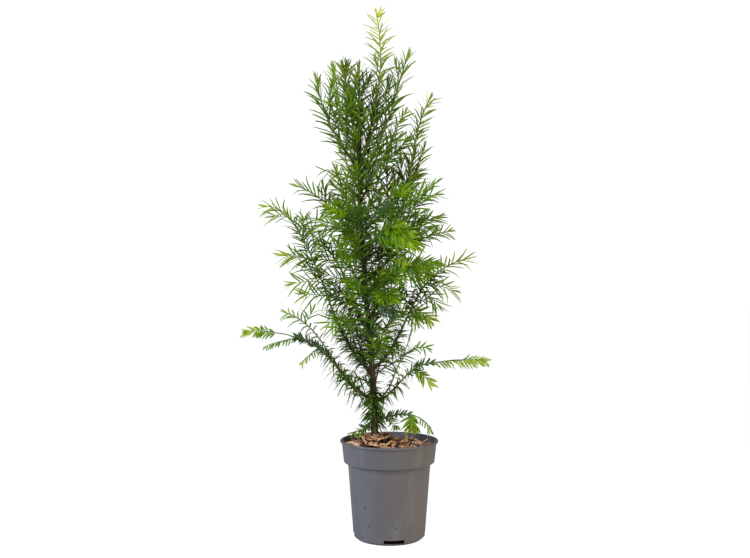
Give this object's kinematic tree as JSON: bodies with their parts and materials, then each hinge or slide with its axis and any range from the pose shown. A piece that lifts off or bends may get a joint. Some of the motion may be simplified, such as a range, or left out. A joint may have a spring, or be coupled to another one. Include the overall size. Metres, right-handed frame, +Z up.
{
  "type": "young english yew in a nursery pot",
  "caption": "Young evergreen yew: a leaning upright stem with upswept boughs of narrow flat needles, rooted in a tapered grey nursery pot with a stepped collar and bark mulch.",
  "frame": {"origin": "centre of the pot's flat underside", "axes": "+Z up along the stem; the widest low boughs spread along X; -Y is the side shown to the viewer"},
  "size_m": [0.4106, 0.3072, 0.8656],
  "materials": {
    "pot_plastic": "satin grey moulded plastic with faint scuffs",
    "bark_mulch": "rough shredded bark",
    "yew_bark": "rough reddish-brown bark",
    "old_needles": "dark green, waxy",
    "green_needles": "mid green, waxy",
    "young_needles": "lime green, soft sheen"
  },
  "bodies": {
    "root": {"pot": "pot_plastic", "potting_mix": "bark_mulch", "trunk": "yew_bark", "bough_back_low_left": "yew_bark", "bough_back_low_right": "yew_bark", "bough_back_lower": "yew_bark", "bough_foot_right": "yew_bark", "bough_left_long": "yew_bark", "bough_left_low": "yew_bark", "bough_left_low_upper": "yew_bark", "bough_left_middle": "yew_bark", "bough_left_upper": "yew_bark", "bough_right_long": "yew_bark", "bough_right_low": "yew_bark", "bough_right_middle": "yew_bark", "bough_right_outer_leader": "yew_bark", "bough_right_thin": "yew_bark", "bough_right_upper_front": "yew_bark", "needles_back_leader": "young_needles", "needles_back_low_left": "old_needles", "needles_back_low_right": "old_needles", "needles_back_lower": "old_needles", "needles_back_middle_left": "green_needles", "needles_back_middle_right": "green_needles", "needles_back_upper": "green_needles", "needles_back_upper_left": "green_needles", "needles_back_upper_right": "green_needles", "needles_foot_left": "green_needles", "needles_foot_right": "green_needles", "needles_front_leader": "young_needles", "needles_front_left": "green_needles", "needles_front_low": "green_needles", "needles_front_lower_left": "green_needles", "needles_front_lower_right": "green_needles", "needles_front_middle": "green_needles", "needles_front_right": "young_needles", "needles_front_upper_left": "green_needles", "needles_front_upper_right": "green_needles", "needles_left_back_leader": "young_needles", "needles_left_front_leader": "young_needles", "needles_left_leader": "young_needles", "needles_left_long": "green_needles", "needles_left_low": "old_needles", "needles_left_low_upper": "green_needles", "needles_left_middle": "green_needles", "needles_left_small": "green_needles", "needles_left_upper": "green_needles", "needles_right_back_leader": "green_needles", "needles_right_front_leader": "young_needles", "needles_right_inner": "old_needles", "needles_right_long": "green_needles", "needles_right_low": "old_needles", "needles_right_middle": "green_needles", "needles_right_outer_leader": "young_needles", "needles_right_thin": "old_needles", "needles_right_upper_back": "green_needles", "needles_right_upper_front": "green_needles", "needles_second_leader": "young_needles", "needles_top_leader": "young_needles", "needles_trunk_collar": "old_needles"}
  },
  "joints": []
}
